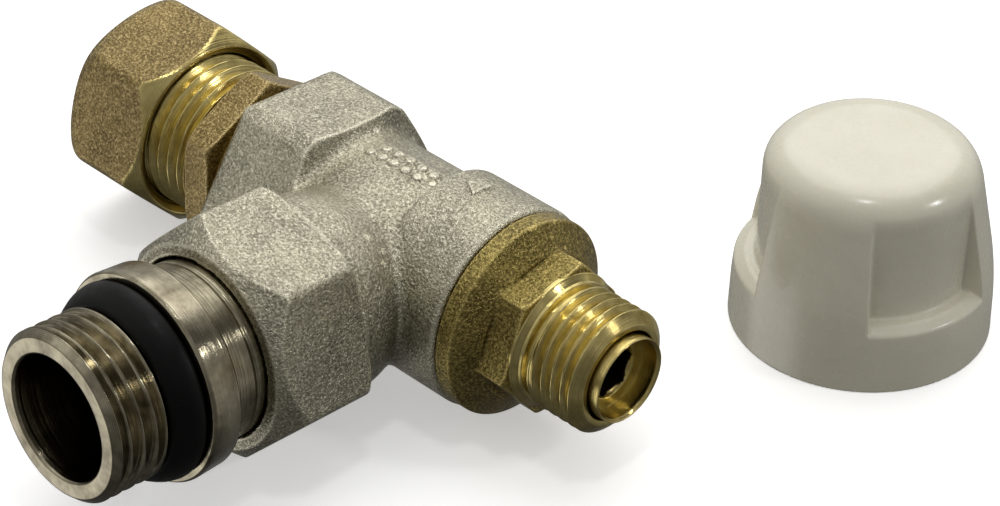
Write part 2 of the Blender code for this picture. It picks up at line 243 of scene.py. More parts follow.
def turned(name, profile, to_row, threads=(), ease=0.15, sides=144):
    """Solid of revolution about local Z from a closed (distance, radius) profile.

    Each of threads is a screw thread cut in it: (start, end, pitch, crest radius, depth).
    """
    rows = []
    points = eased(profile, ease)
    for i, p in enumerate(points):
        q = points[(i + 1) % len(points)]
        rows.append(p)
        for _, _, pitch, crest, _ in threads:
            if max(abs(p[1] - crest), abs(q[1] - crest)) < ON_CREST and abs(q[0] - p[0]) > pitch:
                steps = int(abs(q[0] - p[0]) / pitch * ROWS_PER_TURN)
                rows += [p + (q - p) * k / steps for k in range(1, steps)]
    rows = np.array(rows)
    area = 0.5 * np.sum(rows[:, 0] * np.roll(rows[:, 1], -1) - np.roll(rows[:, 0], -1) * rows[:, 1])
    if area > 0:
        rows = rows[::-1]
    angle = np.arange(sides) * math.tau / sides
    radius = np.repeat(rows[:, 1:2], sides, 1)
    s = np.repeat(rows[:, 0:1], sides, 1)
    for s0, s1, pitch, crest, depth in threads:
        phase = (s / pitch - angle[None, :] / math.tau) % 1.0
        shape = np.clip((np.abs(2 * phase - 1) - CREST_FLAT) / (1 - CREST_FLAT - ROOT_FLAT), 0, 1)
        run_out = THREAD_RUN_OUT * pitch
        fade = ramp(s0, s0 + run_out, s) * (1 - ramp(s1 - run_out, s1, s))
        near = np.abs(radius - crest) < ON_CREST
        radius = np.where(near, radius - depth * shape * fade, radius)
    xyz = np.stack([radius * np.cos(angle), radius * np.sin(angle), s], -1).reshape(-1, 3)
    n = len(rows)
    i, j = np.meshgrid(np.arange(n), np.arange(sides), indexing="ij")
    quads = np.stack([i * sides + j, i * sides + (j + 1) % sides, (i + 1) % n * sides + (j + 1) % sides,
                      (i + 1) % n * sides + j], -1).reshape(-1, 4)
    on_axis = (rows[:, 1] < 1e-6)
    keep = ~(on_axis[i.ravel()] & on_axis[(i.ravel() + 1) % n])
    made = mesh_object(name, xyz, quads[keep], to_row)
    if on_axis.any():
        bm = bmesh.new()
        bm.from_mesh(made.data)
        bmesh.ops.remove_doubles(bm, verts=bm.verts, dist=SAME_POINT_M)
        bm.to_mesh(made.data)
        bm.free()
    return made


# ---- materials -----------------------------------------------------------------------------------
class Nodes:
    """Short ways to make and join the nodes of one tree."""

    def __init__(self, tree):
        self.tree = tree

    def node(self, kind, **values):
        made = self.tree.nodes.new(kind)
        for key, value in values.items():
            setattr(made, key, value)
        return made

    def link(self, source, target):
        self.tree.links.new(source, target)

    def spread(self, source, low, high, out_low=0.0, out_high=1.0, curve="LINEAR"):
        made = self.node("ShaderNodeMapRange", interpolation_type=curve)
        ends = {"From Min": low, "From Max": high, "To Min": out_low, "To Max": out_high}
        for key, value in ends.items():
            made.inputs[key].default_value = value
        self.link(source, made.inputs["Value"])
        return made.outputs["Result"]


class Surface(Nodes):
    """Principled material whose texture space is in millimetres."""

    def __init__(self, name, metallic, roughness):
        self.material = bpy.data.materials.new(name)
        self.material.use_nodes = True
        super().__init__(self.material.node_tree)
        self.shader = self.tree.nodes["Principled BSDF"]
        self.shader.inputs["Metallic"].default_value = metallic
        self.shader.inputs["Roughness"].default_value = roughness
        place = self.node("ShaderNodeTexCoord")
        self.mm = self.node("ShaderNodeVectorMath", operation="SCALE")
        self.link(place.outputs["Object"], self.mm.inputs[0])
        self.mm.inputs["Scale"].default_value = 1 / MM
        self.height = None

    def noise(self, scale, detail=3.0, roughness=0.55):
        made = self.node("ShaderNodeTexNoise")
        made.inputs["Scale"].default_value = scale
        made.inputs["Detail"].default_value = detail
        made.inputs["Roughness"].default_value = roughness
        self.link(self.mm.outputs[0], made.inputs["Vector"])
        return made.outputs["Fac"]

    def along(self, axis, scale, detail):
        """Noise that changes only along one direction, as turning marks do."""
        dot = self.node("ShaderNodeVectorMath", operation="DOT_PRODUCT")
        self.link(self.mm.outputs[0], dot.inputs[0])
        dot.inputs[1].default_value = axis
        made = self.node("ShaderNodeTexNoise", noise_dimensions="1D")
        made.inputs["Scale"].default_value = scale
        made.inputs["Detail"].default_value = detail
        self.link(dot.outputs["Value"], made.inputs["W"])
        return made.outputs["Fac"]

    def mix(self, share, a, b):
        made = self.node("ShaderNodeMix", data_type="RGBA")
        self.link(share, made.inputs["Factor"])
        for socket, value in ((made.inputs["A"], a), (made.inputs["B"], b)):
            if isinstance(value, tuple):
                socket.default_value = (*value, 1.0)
            else:
                self.link(value, socket)
        return made.outputs["Result"]

    def colour(self, source):
        self.link(source, self.shader.inputs["Base Color"])

    def rough(self, source):
        self.link(source, self.shader.inputs["Roughness"])

    def bump(self, source, distance_mm, strength=1.0):
        made = self.node("ShaderNodeBump")
        made.inputs["Distance"].default_value = distance_mm * MM
        made.inputs["Strength"].default_value = strength
        self.link(source, made.inputs["Height"])
        if self.height is not None:
            self.link(self.height, made.inputs["Normal"])
        self.height = made.outputs["Normal"]
        self.link(self.height, self.shader.inputs["Normal"])

    def edges(self, low, high):
        """1 where the surface is a convex edge, from the mesh's own curvature."""
        geometry = self.node("ShaderNodeNewGeometry")
        return self.spread(geometry.outputs["Pointiness"], low, high)


GRAIN, FINE_GRAIN, PEENED, CLOUDS, TURNING_MARKS = 3.0, 6.5, 0.5, 0.16, 7.0  # features per millimetre
GRAIN_HEIGHT, PEENED_HEIGHT, MARK_GROOVE = 0.20, 0.25, 0.04
FORGED_ROUGHNESS = 0.28


def forged(name, dark, light, edge):
    """Blasted forging: dark pits and light grains over broad clouds of two tones, and a painted highlight
    along convex edges.
    """
    made = Surface(name, 1.0, FORGED_ROUGHNESS)
    grain, fine = made.noise(GRAIN, 2, 0.65), made.noise(FINE_GRAIN, 2, 0.6)
    broad = made.noise(CLOUDS, 3, 0.6)
    tone = made.mix(made.spread(broad, 0.3, 0.7), dark, light)
    tone = made.mix(made.spread(grain, 0.48, 0.66, 0.0, 0.7), tone, edge)
    tone = made.mix(made.spread(grain, 0.44, 0.34, 0.0, 0.6), tone, tuple(0.5 * c for c in dark))
    # Painted highlight: convex edges, found from the mesh's curvature, take the bright grain colour.
    tone = made.mix(made.edges(0.512, 0.55), tone, edge)
    made.colour(tone)
    made.rough(made.spread(fine, 0.3, 0.7, FORGED_ROUGHNESS - 0.08, FORGED_ROUGHNESS + 0.10))
    made.bump(made.noise(PEENED, 2, 0.5), PEENED_HEIGHT, 0.5)
    made.bump(grain, GRAIN_HEIGHT)
    made.bump(fine, GRAIN_HEIGHT * 0.4)
    return made.material


def machined(name, base, deep, axis, roughness):
    """Turned metal: fine rings about the axis, a little tarnish in clouds."""
    made = Surface(name, 1.0, roughness)
    marks, broad = made.along(axis, TURNING_MARKS, 3), made.noise(0.35, 3, 0.6)
    tone = made.mix(made.spread(broad, 0.35, 0.75), base, deep)
    tone = made.mix(made.spread(marks, 0.40, 0.70, 0.0, 0.45), tone, deep)
    made.colour(tone)
    made.rough(made.spread(broad, 0.3, 0.7, roughness - 0.04, roughness + 0.08))
    made.bump(marks, MARK_GROOVE, 0.8)
    made.bump(made.noise(1.2, 3, 0.6), MARK_GROOVE, 0.4)
    return made.material


def rubber(name):
    """Black rubber with a little dust."""
    made = Surface(name, 0.0, 0.42)
    dust = made.noise(3.0, 5, 0.75)
    made.colour(made.mix(made.spread(dust, 0.58, 0.80), (0.002, 0.002, 0.002), (0.012, 0.012, 0.011)))
    made.shader.inputs["Specular IOR Level"].default_value = 0.15
    made.rough(made.spread(made.noise(0.8, 3), 0.3, 0.7, 0.34, 0.5))
    made.bump(made.noise(5.0, 3), 0.02, 0.4)
    return made.material


def moulded(name, light, shade):
    """Glossy moulded plastic that lets a little light in."""
    made = Surface(name, 0.0, 0.24)
    settings = {"Subsurface Weight": 0.12, "Subsurface Radius": (1.0, 0.8, 0.5), "Subsurface Scale": 1.5 * MM,
                "Coat Weight": 0.25, "Coat Roughness": 0.12}
    for key, value in settings.items():
        made.shader.inputs[key].default_value = value
    made.colour(made.mix(made.spread(made.noise(0.09, 3), 0.3, 0.7), light, shade))
    made.rough(made.spread(made.noise(0.5, 4, 0.6), 0.3, 0.7, 0.20, 0.32))
    made.bump(made.noise(0.35, 2), 0.06, 0.5)
    made.bump(made.noise(4.0, 3), 0.008, 0.5)
    return made.material


def plain_metal(name, base, roughness):
    """Bright metal with a faint mottle."""
    made = Surface(name, 1.0, roughness)
    made.colour(made.mix(made.spread(made.noise(1.0, 3), 0.3, 0.7), base, tuple(0.8 * c for c in base)))
    made.bump(made.noise(6.0, 3), 0.01, 0.4)
    return made.material


# The third colour of each forging is its light grain tone and also its painted edge highlight.
NICKEL_FORGED = forged("nickel_forged", (0.27, 0.25, 0.185), (0.44, 0.41, 0.305), (0.82, 0.78, 0.62))
BRASS_FORGED = forged("brass_forged", (0.16, 0.112, 0.040), (0.29, 0.21, 0.080), (0.62, 0.48, 0.23))
BONNET_FORGED = forged("brass_forged_bonnet", (0.13, 0.098, 0.030), (0.28, 0.22, 0.066), (0.62, 0.49, 0.18))
NICKEL_MAIN = machined("nickel_turned_tail", (0.41, 0.37, 0.27), (0.13, 0.112, 0.075), TAILWARD, 0.13)
BRASS_MAIN = machined("brass_turned_main", (0.72, 0.60, 0.25), (0.38, 0.30, 0.11), OUT, 0.17)
# Painted shade: near-black brass for the inside of the spindle's key socket, standing for the shade deep in
# the hole.
SOCKET_SHADE_BRASS = machined("brass_painted_shade_socket", (0.035, 0.026, 0.010), (0.02, 0.015, 0.006), OUT, 0.5)
BLACK_RUBBER = rubber("black_rubber")
IVORY = moulded("ivory_abs", (0.73, 0.70, 0.575), (0.67, 0.64, 0.52))
SPRING_STEEL = plain_metal("spring_steel", (0.45, 0.45, 0.46), 0.28)
PTFE = moulded("ptfe", (0.85, 0.85, 0.83), (0.80, 0.80, 0.78))


def dress(obj, look, body, node):
    """Gives a finished piece its material and the body it rides on, and hides the CAD node it stands for."""
    obj.data.materials.clear()
    obj.data.materials.append(look)
    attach(obj, body)
    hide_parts(node)
    return obj


# ---- valve body ----------------------------------------------------------------------------------
BARREL_HALF, BRANCH_WAIST, BRANCH_CORE_R, BRANCH_LAP = 14.5, 1.6, 11.0, 0.02
COLLAR_REAR, COLLAR_LEAN, COLLAR_LEAN_BELOW = 5.7, 0.075, 0.2
CHAMBER_R, CHAMBER_START, SEAT_R = 8.6, -3.5, 5.2
PORT_BORE_R, PORT_FLOOR, OUTLET_R, OUTLET_START = 9.0, -9.5, 7.6, 7.0
PIPS, PIP_START, PIP_STEP, PIP_R, PIP_ROW_HALF, PIP_MIDDLE = 10, -5.2, 1.0, 0.55, 0.85, 94
ARROW_AT, ARROW_HALF, ARROW_TAPER, ARROW_MIDDLE = 9.6, 1.3, 0.62, 86
MARK_HEIGHT = 0.32


def raised_marks(x, y, z):
    """0 to 1 over two rows of plain round pips on the barrel and an arrowhead on the collar."""
    turn = np.arctan2(z, y)
    arc = (turn - math.radians(PIP_MIDDLE)) * (BARREL_R + 0.5)
    found = np.zeros(np.broadcast(x, y, z).shape)
    for k in range(PIPS):
        u, v = x - PIP_START - PIP_STEP * k, arc - PIP_ROW_HALF * (-1) ** k
        found = np.maximum(found, 1 - ramp(-0.1, 0.35, np.sqrt(u * u + v * v) - PIP_R))
    u, v = x - ARROW_AT, (turn - math.radians(ARROW_MIDDLE)) * (COLLAR_R + 0.3)
    arrow = np.maximum(np.abs(v) - (ARROW_HALF + u) * ARROW_TAPER, u - ARROW_HALF)
    found = np.maximum(found, 1 - ramp(-0.05, 0.3, arrow))
    return np.where(z > 0, found, 0.0)


def port_outside(x, y, z, r):
    """The hexagon at the pipe's end, its rear edges chamfered and its front turned to a cone."""
    flats = hexagon(y, z, PORT_AF, 0.0, 0.25)
    port = smooth_max(flats, r - PORT_TRIM_R, 0.25)
    port = smooth_max(port, PORT_END - x, 0.4)
    port = smooth_max(port, cone(flats, 0.8, PORT_END + 0.9 - x), 0.3)
    return smooth_max(port, cone(r - PORT_AF / 2, 2.2, x - PORT_FRONT), 0.25)


def body_outside(x, y, z, r, q, s):
    """Port, barrel, branch and collar, run into one another as forged."""
    barrel = smooth_max(r - BARREL_R, np.abs(x) - BARREL_HALF, 1.0)
    rear = COLLAR_REAR - COLLAR_LEAN * y - COLLAR_LEAN_BELOW * np.minimum(z, 0.0)
    collar = smooth_max(r - COLLAR_R, np.maximum(rear - x, x - BODY_END), 0.9)
    branch_r = BRANCH_R - BRANCH_WAIST * (1 - ramp(9.0, 16.0, s))
    branch = smooth_max(q - branch_r, np.maximum(-s, s - BRANCH_SHOULDER), 0.6)
    solid = smooth_min(barrel, port_outside(x, y, z, r), 1.4)
    solid = smooth_min(solid, branch, 3.5)
    return smooth_min(solid, collar, 0.8)


def body_hollow(x, r, q, s):
    """Bonnet's chamber, seat bore, the adapter's bore and the outlet."""
    main = np.minimum(np.maximum(r - CHAMBER_R, CHAMBER_START - x), r - SEAT_R)
    port = np.maximum(r - PORT_BORE_R, x - PORT_FLOOR)
    outlet = np.maximum(q - OUTLET_R, OUTLET_START - s)
    return np.minimum(np.minimum(main, port), outlet)


def body_field(x, y, z):
    r, q, s = np.sqrt(y * y + z * z), np.sqrt(x * x + z * z), -y
    solid = body_outside(x, y, z, r, q, s) - MARK_HEIGHT * raised_marks(x, y, z)
    neck = np.maximum(q - BRANCH_CORE_R, np.maximum(s - BRANCH_END, -s))
    return np.maximum(np.minimum(solid, neck), -body_hollow(x, r, q, s))


body = skin("body_forging", body_field, (-22.8, -27, -15.5), (19, 15.5, 15.5), 0.3, VALVE)
dress(body, NICKEL_FORGED, "valve", "valve_body")
branch_profile = [
    (18.2, 10.2), (18.2, BRANCH_CORE_R), (19.2, BRANCH_THREAD_R), (BRANCH_END - 0.8, BRANCH_THREAD_R),
    (BRANCH_END + BRANCH_LAP, BRANCH_CORE_R), (BRANCH_END + BRANCH_LAP, 10.2),
]
branch_cut = (19.0, 26.2, 1.5, BRANCH_THREAD_R, 0.8)
branch_thread = turned("branch_thread", branch_profile, ALONG_TAIL, [branch_cut])
dress(branch_thread, NICKEL_MAIN, "valve", "valve_body")


# ---- union nut -----------------------------------------------------------------------------------
UNION_CONE_AT, UNION_LIP_AT, UNION_LIP_R, UNION_BORE_R = 29.4, 30.3, 11.28, 12.2


def union_field(a, b, s):
    r = np.sqrt(a * a + b * b)
    beyond_corner = r - corner_radius(UNION_AF)
    solid = bar(a, b, s, UNION_AF, UNION_TURN, UNION_S0, UNION_S1, 0.25, 0.3)
    solid = smooth_max(solid, cone(beyond_corner, 0.84, s - UNION_CONE_AT), 0.2)
    solid = smooth_max(solid, cone(beyond_corner, 1.1, UNION_S0 + 0.9 - s), 0.35)
    solid = smooth_max(solid, r - UNION_TRIM_R, 0.2)
    hole = np.where(s > UNION_LIP_AT, r - UNION_LIP_R, r - UNION_BORE_R)
    return np.maximum(solid, -hole)


union = skin("union_nut_forging", union_field, (-16.5, -16.5, 18.8), (16.5, 16.5, 33.4), 0.25, ALONG_TAIL)
dress(union, NICKEL_FORGED, "union_nut", "union_nut")


# ---- tail and its rings --------------------------------------------------------------------------
TAIL_BORE_R, TAIL_SLEEVE_R, TAIL_GROOVE_R, TAIL_COLLAR_R = 7.66, 10.95, 10.1, 12.7
TAIL_THREAD_R, TAIL_THREAD_DEPTH, TAIL_END, RING_SEAT_R = 10.48, 1.4, 53.9, 9.7
SMOOTH_SIDES = 192

tail_profile = [
    (27.6, TAIL_BORE_R), (27.6, TAIL_SLEEVE_R), (28.2, TAIL_SLEEVE_R), (28.2, TAIL_GROOVE_R),
    (29.8, TAIL_GROOVE_R), (29.8, TAIL_SLEEVE_R), (33.6, TAIL_SLEEVE_R), (33.9, 10.75), (34.2, TAIL_SLEEVE_R),
    (37.3, TAIL_SLEEVE_R), (37.9, TAIL_COLLAR_R), (41.6, 12.9), (42.0, TAIL_COLLAR_R), (42.0, RING_SEAT_R),
    (46.2, RING_SEAT_R), (46.7, TAIL_THREAD_R), (53.0, TAIL_THREAD_R), (TAIL_END, 9.66), (TAIL_END, 7.9),
    (53.6, TAIL_BORE_R),
]
tail_cut = (46.3, 54.3, PIPE_PITCH, TAIL_THREAD_R, TAIL_THREAD_DEPTH)
tail = turned("tail_turned", tail_profile, ALONG_TAIL, [tail_cut], 0.12, SMOOTH_SIDES)
dress(tail, NICKEL_MAIN, "tail", "radiator_tail")
ring_profile = [
    (42.1, 9.9), (42.1, 11.7), (42.6, 12.15), (43.8, 11.95), (45.2, 11.2), (45.95, 10.5), (46.1, 9.9),
]
dress(turned("tail_rubber", ring_profile, ALONG_TAIL, ease=0.5), BLACK_RUBBER, "tail", "tail_oring")


INNER_SIDES, CORD_SIDES = 96, 20


def oring(name, at, centre, cord, to_row, body, node):
    """Rubber ring whose cord has the given radius, its centre line a circle of radius centre."""
    steps = [math.tau * k / CORD_SIDES for k in range(CORD_SIDES)]
    profile = [(at + cord * math.cos(a), centre + cord * math.sin(a)) for a in steps]
    dress(turned(name, profile, to_row, ease=0.02, sides=INNER_SIDES), BLACK_RUBBER, body, node)


oring("seat_seal", 26.8, 9.5, 0.5, ALONG_TAIL, "tail", "tail_seat_oring")
oring("bonnet_seal", 16.0, 7.98, 0.5, ALONG_MAIN, "valve", "bonnet_oring")
oring("spindle_seal_low", 21.5, 5.05, 0.55, ALONG_MAIN, "spindle", "spindle_oring_lower")
oring("spindle_seal_high", 26.3, 5.05, 0.55, ALONG_MAIN, "spindle", "spindle_oring_upper")


SNAP_AT, SNAP_R, SNAP_HALF_WIDTH, SNAP_HALF_LENGTH, SNAP_GAP_HALF = 29.0, 11.1, 0.7, 0.55, 1.5


def snap_field(a, b, s):
    r = np.sqrt(a * a + b * b)
    ring = smooth_max(np.abs(r - SNAP_R) - SNAP_HALF_WIDTH, np.abs(s - SNAP_AT) - SNAP_HALF_LENGTH, 0.25)
    return np.maximum(ring, -np.maximum(np.abs(a) - SNAP_GAP_HALF, -b))


snap = skin("snap_ring", snap_field, (-12.5, -12.5, 28.2), (12.5, 12.5, 29.8), 0.2, ALONG_TAIL)
dress(snap, SPRING_STEEL, "tail", "nut_retaining_ring")


# ---- compression end -----------------------------------------------------------------------------
COMP_MOUTH_R, COMP_BORE_R, TUBE_HOLE_R = 11.8, 10.9, 7.75
COMP_TAPER_START, COMP_TAPER_END, COMP_TAPER = -47.8, -45.2, 0.71
COMP_STEP, COMP_LAP = 0.25, 0.12
COMP_SPAN = ((-15, -15, -50.8), (15, 15, -35.2))


def comp_front(r, s):
    """Distance outside the cone turned on the nut's front."""
    return cone(r - COMP_MOUTH_R, 0.85, s - COMP_S1)


def comp_field(a, b, s):
    r = np.sqrt(a * a + b * b)
    solid = bar(a, b, s, COMP_AF, COMP_TURN, COMP_S0, COMP_S1, 0.9, 0.5)
    solid = smooth_max(solid, comp_front(r, s), 0.3)
    solid = smooth_max(solid, cone(r - corner_radius(COMP_AF), 0.9, COMP_S0 + 2.2 - s), 1.2)
    tube_hole = r - TUBE_HOLE_R
    taper = tube_hole - (s - COMP_TAPER_START) * COMP_TAPER
    bore = r - COMP_BORE_R
    hole = np.where(s < COMP_TAPER_START, tube_hole, np.where(s < COMP_TAPER_END, taper, bore))
    lead_in = bore - np.maximum(s - COMP_S1 + 0.7, 0.0) * 1.2
    middle = (COMP_S0 + COMP_S1) / 2
    return np.maximum(solid, -np.minimum(hole, np.where(s > middle, lead_in, hole)))


def comp_turned(a, b, s):
    return comp_front(np.sqrt(a * a + b * b), s) > -COMP_LAP


def comp_forged(a, b, s):
    return ~comp_turned(a, b, s)


comp = skin("compression_nut_forging", comp_field, *COMP_SPAN, COMP_STEP, ALONG_MAIN, comp_forged)
dress(comp, BRASS_FORGED, "compression_nut", "compression_nut")
front = skin("compression_nut_chamfer", comp_field, *COMP_SPAN, COMP_STEP, ALONG_MAIN, comp_turned)
dress(front, BRASS_MAIN, "compression_nut", "compression_nut")
sleeve = [(-45.1, 10.55), (-45.1, 11.1), (-36.4, 11.1), (-35.86, 11.75), (-35.86, 11.55), (-36.6, 10.55)]
lining = turned("compression_nut_bore", sleeve, ALONG_MAIN, ease=0.08)
dress(lining, BRASS_MAIN, "compression_nut", "compression_nut")

ADAPTER_THREAD_R, ADAPTER_NECK_R, ADAPTER_TUBE_R, ADAPTER_BORE_R = 10.25, 9.3, 7.6, 6.3
ADAPTER_BACK = -40.8

adapter_profile = [
    (ADAPTER_BACK, 9.2), (ADAPTER_BACK, 9.5), (-40.0, ADAPTER_THREAD_R), (-29.6, ADAPTER_THREAD_R),
    (-29.4, ADAPTER_NECK_R), (-24.4, ADAPTER_NECK_R), (-24.4, 9.9), (-23.4, 9.9), (-23.4, 8.7), (-12.0, 8.7),
    (-12.0, ADAPTER_BORE_R), (-25.0, ADAPTER_BORE_R), (-25.0, ADAPTER_TUBE_R), (-39.1, ADAPTER_TUBE_R),
]
adapter_cut = (-41.5, -29.2, PIPE_PITCH, ADAPTER_THREAD_R, 1.15)
adapter = turned("adapter_turned", adapter_profile, ALONG_MAIN, [adapter_cut], 0.12, SMOOTH_SIDES)
dress(adapter, BRASS_MAIN, "valve", "compression_adapter")


def adapter_field(a, b, s):
    r = np.sqrt(a * a + b * b)
    beyond_corner = r - corner_radius(ADAPTER_AF)
    solid = bar(a, b, s, ADAPTER_AF, ADAPTER_TURN, ADAPTER_S0, ADAPTER_S1, 0.4, 0.25)
    for end in (s - ADAPTER_S1, ADAPTER_S0 - s):
        solid = smooth_max(solid, cone(beyond_corner, 1.6, end + 0.5), 0.3)
    return np.maximum(solid, ADAPTER_NECK_R - 0.3 - r)


flats = skin("adapter_hexagon", adapter_field, (-13, -13, -29.8), (13, 13, -24.1), 0.2, ALONG_MAIN)
dress(flats, BRASS_FORGED, "valve", "compression_adapter")
seal_profile = [(-23.1, 8.95), (-23.1, 10.0), (-22.2, 10.0), (-22.2, 8.95)]
dress(turned("port_seal", seal_profile, ALONG_MAIN, ease=0.3), BLACK_RUBBER, "valve", "adapter_seal")
olive_profile = [(-47.1, 7.75), (-47.1, 7.9), (-45.3, 9.0), (-44.4, 9.0), (-42.4, 8.0), (-42.4, 7.75)]
dress(turned("olive", olive_profile, ALONG_MAIN, ease=0.1), BRASS_MAIN, "olive", "compression_olive")


# ---- bonnet --------------------------------------------------------------------------------------
BONNET_BORE_R, BONNET_BODY_R, BONNET_NECK_R = 5.75, 8.25, 7.0


def bonnet_field(a, b, s):
    r = np.sqrt(a * a + b * b)
    rim = smooth_max(r - FLANGE_R, FLANGE_S0 - s, 0.25)
    rim = smooth_max(rim, cone(r - FLANGE_R + 0.15, 1.6, s - FLANGE_RIM_END), 0.25)
    rim = np.maximum(rim, s - 22.0)
    nut = bar(a, b, s, BONNET_AF, BONNET_TURN, FLANGE_S0, BONNET_HEX_END, 0.25, 0.2)
    nut = smooth_max(nut, cone(r - 9.4, 1.2, s - BONNET_HEX_END), 0.2)
    solid = smooth_min(rim, nut, 0.5)
    return np.maximum(solid, 6.2 - r)


bonnet_nut = skin("bonnet_forging", bonnet_field, (-13.3, -13.3, 17.2), (13.3, 13.3, 26.3), 0.2, ALONG_MAIN)
dress(bonnet_nut, BONNET_FORGED, "valve", "bonnet")
bonnet_profile = [
    (8.0, 6.85), (8.0, 7.75), (8.5, BONNET_BODY_R), (15.0, BONNET_BODY_R), (15.0, 7.4), (17.0, 7.4),
    (17.0, BONNET_BODY_R), (17.9, BONNET_BODY_R), (17.9, 6.3), (25.2, 6.3), (25.2, 8.7), (25.85, 8.7),
    (26.5, 7.9), (26.9, 7.9), (27.05, BONNET_NECK_R), (27.4, BONNET_NECK_R), (27.8, BONNET_THREAD_R),
    (34.2, BONNET_THREAD_R), (BONNET_END, 6.5), (BONNET_END, BONNET_BORE_R), (19.0, BONNET_BORE_R),
    (19.0, 6.85),
]
bonnet_cut = (27.7, 34.6, BONNET_PITCH, BONNET_THREAD_R, 0.9)
bonnet = turned("bonnet_turned", bonnet_profile, ALONG_MAIN, [bonnet_cut], 0.12, SMOOTH_SIDES)
dress(bonnet, BRASS_MAIN, "valve", "bonnet")


# ---- spindle and plug ----------------------------------------------------------------------------
SPINDLE_R, SPINDLE_END, SPINDLE_GROOVE_R, SPINDLE_SCREW_R = 5.42, 36.7, 4.3, 6.5
CUP_R, CUP_FLARE_AT, KEY_AF, KEY_TURN, KEY_FLOOR = 4.95, 36.35, 6.0, 12.0, 28.5
KEY_LEAD, KEY_LEAD_R, KEY_LEAD_SLOPE, HEAD_FOOT = 0.5, 3.2, 0.6, 28.0
HEAD_SPAN, HEAD_STEP = ((-5.9, -5.9, 27.7), (5.9, 5.9, 37.1)), 0.13
FAR_OUT = 9.0


def spindle_field(a, b, s):
    r = np.sqrt(a * a + b * b)
    solid = smooth_max(r - SPINDLE_R, s - SPINDLE_END, 0.15)
    solid = np.maximum(solid, HEAD_FOOT - s)
    cup = np.minimum(np.maximum(r - CUP_R, CUP_FLOOR - s), r - CUP_R - (s - CUP_FLARE_AT))
    key = np.maximum(hexagon(a, b, KEY_AF, KEY_TURN, 0.1), KEY_FLOOR - s)
    above_lead = s - CUP_FLOOR + KEY_LEAD
    lead = np.where(above_lead > 0, r - KEY_LEAD_R - above_lead * KEY_LEAD_SLOPE, FAR_OUT)
    return smooth_max(solid, -np.minimum(np.minimum(cup, key), lead), 0.08)


def socket_faces(a, b, s):
    return (hexagon(a, b, KEY_AF + 0.3, KEY_TURN, 0.1) < 0) & (s < CUP_FLOOR - 0.3)


def head_faces(a, b, s):
    return ~socket_faces(a, b, s)


head = skin("spindle_head", spindle_field, *HEAD_SPAN, HEAD_STEP, ALONG_MAIN, head_faces)
dress(head, BRASS_MAIN, "spindle", "spindle")
# The faces inside the key's hexagon get the painted shade brass; the rest of the head is plain turned brass.
socket = skin("spindle_key_socket", spindle_field, *HEAD_SPAN, HEAD_STEP, ALONG_MAIN, socket_faces)
dress(socket, SOCKET_SHADE_BRASS, "spindle", "spindle")
spindle_profile = [
    (7.4, 0), (7.4, 3.0), (10.9, 3.0), (10.9, 6.1), (11.4, SPINDLE_SCREW_R), (18.1, SPINDLE_SCREW_R),
    (18.1, SPINDLE_R), (20.7, SPINDLE_R), (20.7, SPINDLE_GROOVE_R), (22.3, SPINDLE_GROOVE_R),
    (22.3, SPINDLE_R), (23.1, SPINDLE_R), (23.1, 4.6), (24.7, 4.6), (24.7, SPINDLE_R), (25.5, SPINDLE_R),
    (25.5, SPINDLE_GROOVE_R), (27.1, SPINDLE_GROOVE_R), (27.1, SPINDLE_R), (28.1, SPINDLE_R), (28.1, 0),
]
spindle_cut = (11.2, 18.3, 1.0, SPINDLE_SCREW_R, 0.5)
stem = turned("spindle_stem", spindle_profile, ALONG_MAIN, [spindle_cut], 0.1, INNER_SIDES)
dress(stem, BRASS_MAIN, "spindle", "spindle")
friction_profile = [(23.35, 4.8), (23.35, 5.6), (24.45, 5.6), (24.45, 4.8)]
friction = turned("friction_ring", friction_profile, ALONG_MAIN, ease=0.1, sides=INNER_SIDES)
dress(friction, PTFE, "spindle", "spindle_friction_ring")
plug_profile = [
    (3.7, 2.0), (3.7, 6.8), (5.6, 6.8), (6.2, 4.8), (10.5, 4.8), (10.5, 3.3), (7.1, 3.3), (7.1, 2.0),
]
plug = turned("plug_turned", plug_profile, ALONG_MAIN, ease=0.12, sides=INNER_SIDES)
dress(plug, BRASS_MAIN, "plug", "valve_plug")
washer_profile = [(1.4, 2.4), (1.4, 6.5), (3.4, 6.5), (3.4, 2.4)]
washer = turned("plug_face", washer_profile, ALONG_MAIN, ease=0.25, sides=INNER_SIDES)
dress(washer, BLACK_RUBBER, "plug", "plug_washer")
screw_profile = [(0.2, 0), (0.2, 2.6), (0.5, 3.2), (1.1, 3.2), (1.1, 1.7), (5.4, 1.7), (5.4, 0)]
screw = turned("plug_fixing", screw_profile, ALONG_MAIN, ease=0.1, sides=64)
dress(screw, SPRING_STEEL, "plug", "plug_screw")


# ---- cap -----------------------------------------------------------------------------------------
CAP_ROOF, CAP_INSIDE_R, CAP_SLEEVE_R, CAP_SLEEVE_BORE_R, CAP_CORE_R = 2.4, 14.4, 9.5, 8.05, 11.0
CAP_SLEEVE_FOOT, CAP_INSIDE_END = 6.0, 7.0


def cap_outside(r, z):
    """Skirt, cone above it and domed top."""
    skirt = r - CAP_BASE_R + (CAP_BASE_R - CAP_SKIRT_R) * z / CAP_SKIRT_H
    slope = (CAP_SKIRT_R - CAP_TOP_R) / (CAP_H - CAP_EDGE - CAP_SKIRT_H)
    solid = smooth_max(skirt, cone(r - CAP_SKIRT_R, slope, z - CAP_SKIRT_H), 0.8)
    solid = smooth_max(solid, z - CAP_H, CAP_EDGE)
    return smooth_max(solid, -z, 0.3)


